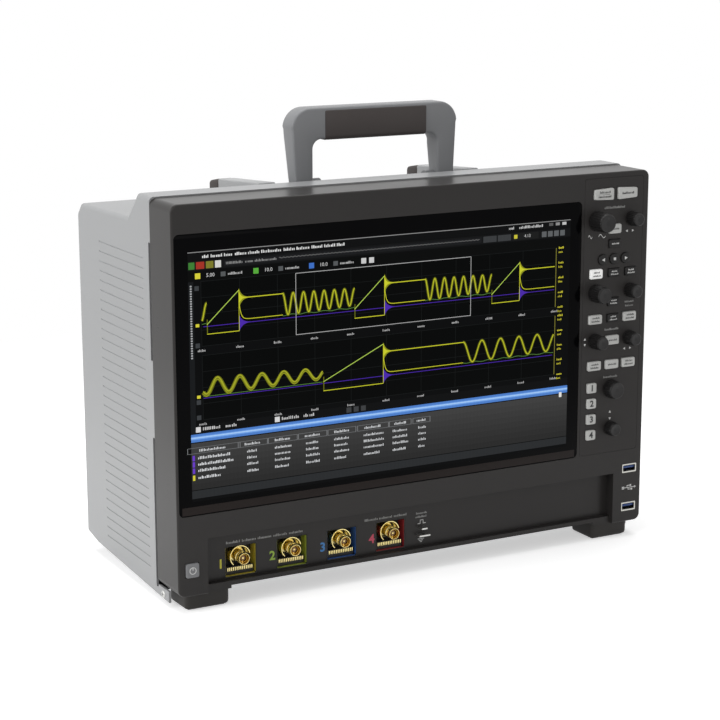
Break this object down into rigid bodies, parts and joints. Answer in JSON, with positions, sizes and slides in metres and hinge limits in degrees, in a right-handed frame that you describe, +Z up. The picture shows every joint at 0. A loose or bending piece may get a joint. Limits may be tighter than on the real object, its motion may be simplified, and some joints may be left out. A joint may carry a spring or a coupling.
{
  "type": "oscilloscope",
  "caption": "Bench oscilloscope with a wide touch display, a column of keys and knobs, a bay of coaxial inputs, USB sockets, side louvres, feet and a folding carrying handle.",
  "frame": {"origin": "on the table, under the centre of the whole instrument's box", "axes": "+X to the viewer's right, +Y from the front to the back, +Z up; the display faces -Y"},
  "size_m": [0.4376, 0.223, 0.378],
  "materials": {
    "light_keys": "satin translucent grey",
    "dark_keys": "satin charcoal",
    "knob_grey": "satin grey rubberised",
    "bezel_charcoal": "fine texture",
    "touch_glass": "polished",
    "lcd_metal": "brushed",
    "channel_plastic": "coloured inserts",
    "black_plastic": "matt",
    "connector_metal": "nickel plated",
    "gold_plate": "gold plated",
    "terminal_metal": "tin plated",
    "case_paint": "light grey powder coat",
    "rib_rubber": "light grey with dark tips",
    "handle_plastic": "satin grey",
    "foot_plastic": "matt grey",
    "chassis_steel": "plain sheet",
    "board_laminate": "solder resist"
  },
  "bodies": {
    "case": {"bnc_jacks": "connector_metal", "bottom_pan": "case_paint", "calibration_terminals": "terminal_metal", "channel_frames": "channel_plastic", "chassis": "chassis_steel", "contact_strips": "gold_plate", "control_panel": "bezel_charcoal", "cover_screws": "terminal_metal", "display_glass": "touch_glass", "fan_frame": "black_plastic", "front_bezel": "bezel_charcoal", "front_feet": "foot_plastic", "handle_hubs": "case_paint", "interface_blocks": "black_plastic", "keypad_board": "board_laminate", "lcd_panel": "lcd_metal", "main_board": "board_laminate", "outer_cover": "case_paint", "power_inlet": "black_plastic", "power_supply": "chassis_steel", "probe_collars": "gold_plate", "rear_connectors": "connector_metal", "rear_feet": "foot_plastic", "rear_panel": "chassis_steel", "top_ribs": "rib_rubber", "usb_ports": "connector_metal"},
    "handle": {"handle_frame": "handle_plastic", "handle_grip": "black_plastic"},
    "fan": {"fan_rotor": "black_plastic"},
    "key_acquire": {"key_acquire": "dark_keys"},
    "key_autoscale": {"key_autoscale": "light_keys"},
    "key_channel_1": {"key_channel_1": "light_keys"},
    "key_channel_2": {"key_channel_2": "light_keys"},
    "key_channel_3": {"key_channel_3": "light_keys"},
    "key_channel_4": {"key_channel_4": "light_keys"},
    "key_clear": {"key_clear": "dark_keys"},
    "key_default": {"key_default": "light_keys"},
    "key_digital": {"key_digital": "light_keys"},
    "key_force": {"key_force": "light_keys"},
    "key_math": {"key_math": "light_keys"},
    "key_menu": {"key_menu": "dark_keys"},
    "key_mode": {"key_mode": "light_keys"},
    "key_power": {"key_power": "light_keys"},
    "key_run": {"key_run": "light_keys"},
    "key_search": {"key_search": "dark_keys"},
    "key_select": {"key_select": "light_keys"},
    "key_serial": {"key_serial": "light_keys"},
    "key_single": {"key_single": "dark_keys"},
    "key_step_back": {"key_step_back": "dark_keys"},
    "key_step_forward": {"key_step_forward": "dark_keys"},
    "key_step_stop": {"key_step_stop": "dark_keys"},
    "key_touch": {"key_touch": "light_keys"},
    "knob_horizontal_position": {"knob_horizontal_position": "knob_grey"},
    "knob_horizontal_scale": {"knob_horizontal_scale": "knob_grey"},
    "knob_marker": {"knob_marker": "knob_grey"},
    "knob_marker_fine": {"knob_marker_fine": "knob_grey"},
    "knob_search": {"knob_search": "knob_grey"},
    "knob_trigger_level": {"knob_trigger_level": "knob_grey"},
    "knob_vertical_offset": {"knob_vertical_offset": "knob_grey"},
    "knob_vertical_scale": {"knob_vertical_scale": "knob_grey"}
  },
  "joints": [
    {"name": "handle_fold", "type": "hinge", "parent": "case", "child": "handle", "pos_m": [0, -0.0075, 0.313], "axis": [-1, 0, 0], "range_deg": [0, 90]},
    {"name": "fan_spin", "type": "hinge", "parent": "case", "child": "fan", "pos_m": [-0.11, 0.0855, 0.205], "axis": [0, 1, 0], "continuous": true},
    {"name": "knob_horizontal_position_turn", "type": "hinge", "parent": "case", "child": "knob_horizontal_position", "pos_m": [0.2005, -0.0945, 0.28], "axis": [0, -1, 0], "continuous": true},
    {"name": "knob_horizontal_scale_turn", "type": "hinge", "parent": "case", "child": "knob_horizontal_scale", "pos_m": [0.1655, -0.0945, 0.28], "axis": [0, -1, 0], "continuous": true},
    {"name": "knob_marker_turn", "type": "hinge", "parent": "case", "child": "knob_marker", "pos_m": [0.1655, -0.0945, 0.178], "axis": [0, -1, 0], "continuous": true},
    {"name": "knob_marker_fine_turn", "type": "hinge", "parent": "case", "child": "knob_marker_fine", "pos_m": [0.2005, -0.0945, 0.178], "axis": [0, -1, 0], "continuous": true},
    {"name": "knob_search_turn", "type": "hinge", "parent": "case", "child": "knob_search", "pos_m": [0.2005, -0.0945, 0.219], "axis": [0, -1, 0], "continuous": true},
    {"name": "knob_trigger_level_turn", "type": "hinge", "parent": "case", "child": "knob_trigger_level", "pos_m": [0.1655, -0.0945, 0.219], "axis": [0, -1, 0], "continuous": true},
    {"name": "knob_vertical_offset_turn", "type": "hinge", "parent": "case", "child": "knob_vertical_offset", "pos_m": [0.1835, -0.0945, 0.1005], "axis": [0, -1, 0], "continuous": true},
    {"name": "knob_vertical_scale_turn", "type": "hinge", "parent": "case", "child": "knob_vertical_scale", "pos_m": [0.1835, -0.0945, 0.135], "axis": [0, -1, 0], "continuous": true},
    {"name": "key_acquire_press", "type": "slide", "parent": "case", "child": "key_acquire", "axis": [0, 1, 0], "range_m": [0, 0.0007], "stiffness_N_per_m": 2500, "springref_m": -0.0004},
    {"name": "key_autoscale_press", "type": "slide", "parent": "case", "child": "key_autoscale", "axis": [0, 1, 0], "range_m": [0, 0.0007], "stiffness_N_per_m": 2500, "springref_m": -0.0004},
    {"name": "key_channel_1_press", "type": "slide", "parent": "case", "child": "key_channel_1", "axis": [0, 1, 0], "range_m": [0, 0.0007], "stiffness_N_per_m": 2500, "springref_m": -0.0004},
    {"name": "key_channel_2_press", "type": "slide", "parent": "case", "child": "key_channel_2", "axis": [0, 1, 0], "range_m": [0, 0.0007], "stiffness_N_per_m": 2500, "springref_m": -0.0004},
    {"name": "key_channel_3_press", "type": "slide", "parent": "case", "child": "key_channel_3", "axis": [0, 1, 0], "range_m": [0, 0.0007], "stiffness_N_per_m": 2500, "springref_m": -0.0004},
    {"name": "key_channel_4_press", "type": "slide", "parent": "case", "child": "key_channel_4", "axis": [0, 1, 0], "range_m": [0, 0.0007], "stiffness_N_per_m": 2500, "springref_m": -0.0004},
    {"name": "key_clear_press", "type": "slide", "parent": "case", "child": "key_clear", "axis": [0, 1, 0], "range_m": [0, 0.0007], "stiffness_N_per_m": 2500, "springref_m": -0.0004},
    {"name": "key_default_press", "type": "slide", "parent": "case", "child": "key_default", "axis": [0, 1, 0], "range_m": [0, 0.0007], "stiffness_N_per_m": 2500, "springref_m": -0.0004},
    {"name": "key_digital_press", "type": "slide", "parent": "case", "child": "key_digital", "axis": [0, 1, 0], "range_m": [0, 0.0007], "stiffness_N_per_m": 2500, "springref_m": -0.0004},
    {"name": "key_force_press", "type": "slide", "parent": "case", "child": "key_force", "axis": [0, 1, 0], "range_m": [0, 0.0007], "stiffness_N_per_m": 2500, "springref_m": -0.0004},
    {"name": "key_math_press", "type": "slide", "parent": "case", "child": "key_math", "axis": [0, 1, 0], "range_m": [0, 0.0007], "stiffness_N_per_m": 2500, "springref_m": -0.0004},
    {"name": "key_menu_press", "type": "slide", "parent": "case", "child": "key_menu", "axis": [0, 1, 0], "range_m": [0, 0.0007], "stiffness_N_per_m": 2500, "springref_m": -0.0004},
    {"name": "key_mode_press", "type": "slide", "parent": "case", "child": "key_mode", "axis": [0, 1, 0], "range_m": [0, 0.0007], "stiffness_N_per_m": 2500, "springref_m": -0.0004},
    {"name": "key_power_press", "type": "slide", "parent": "case", "child": "key_power", "axis": [0, 1, 0], "range_m": [0, 0.0007], "stiffness_N_per_m": 2500, "springref_m": -0.0004},
    {"name": "key_run_press", "type": "slide", "parent": "case", "child": "key_run", "axis": [0, 1, 0], "range_m": [0, 0.0007], "stiffness_N_per_m": 2500, "springref_m": -0.0004},
    {"name": "key_search_press", "type": "slide", "parent": "case", "child": "key_search", "axis": [0, 1, 0], "range_m": [0, 0.0007], "stiffness_N_per_m": 2500, "springref_m": -0.0004},
    {"name": "key_select_press", "type": "slide", "parent": "case", "child": "key_select", "axis": [0, 1, 0], "range_m": [0, 0.0007], "stiffness_N_per_m": 2500, "springref_m": -0.0004},
    {"name": "key_serial_press", "type": "slide", "parent": "case", "child": "key_serial", "axis": [0, 1, 0], "range_m": [0, 0.0007], "stiffness_N_per_m": 2500, "springref_m": -0.0004},
    {"name": "key_single_press", "type": "slide", "parent": "case", "child": "key_single", "axis": [0, 1, 0], "range_m": [0, 0.0007], "stiffness_N_per_m": 2500, "springref_m": -0.0004},
    {"name": "key_step_back_press", "type": "slide", "parent": "case", "child": "key_step_back", "axis": [0, 1, 0], "range_m": [0, 0.0007], "stiffness_N_per_m": 2500, "springref_m": -0.0004},
    {"name": "key_step_forward_press", "type": "slide", "parent": "case", "child": "key_step_forward", "axis": [0, 1, 0], "range_m": [0, 0.0007], "stiffness_N_per_m": 2500, "springref_m": -0.0004},
    {"name": "key_step_stop_press", "type": "slide", "parent": "case", "child": "key_step_stop", "axis": [0, 1, 0], "range_m": [0, 0.0007], "stiffness_N_per_m": 2500, "springref_m": -0.0004},
    {"name": "key_touch_press", "type": "slide", "parent": "case", "child": "key_touch", "axis": [0, 1, 0], "range_m": [0, 0.0007], "stiffness_N_per_m": 2500, "springref_m": -0.0004}
  ]
}
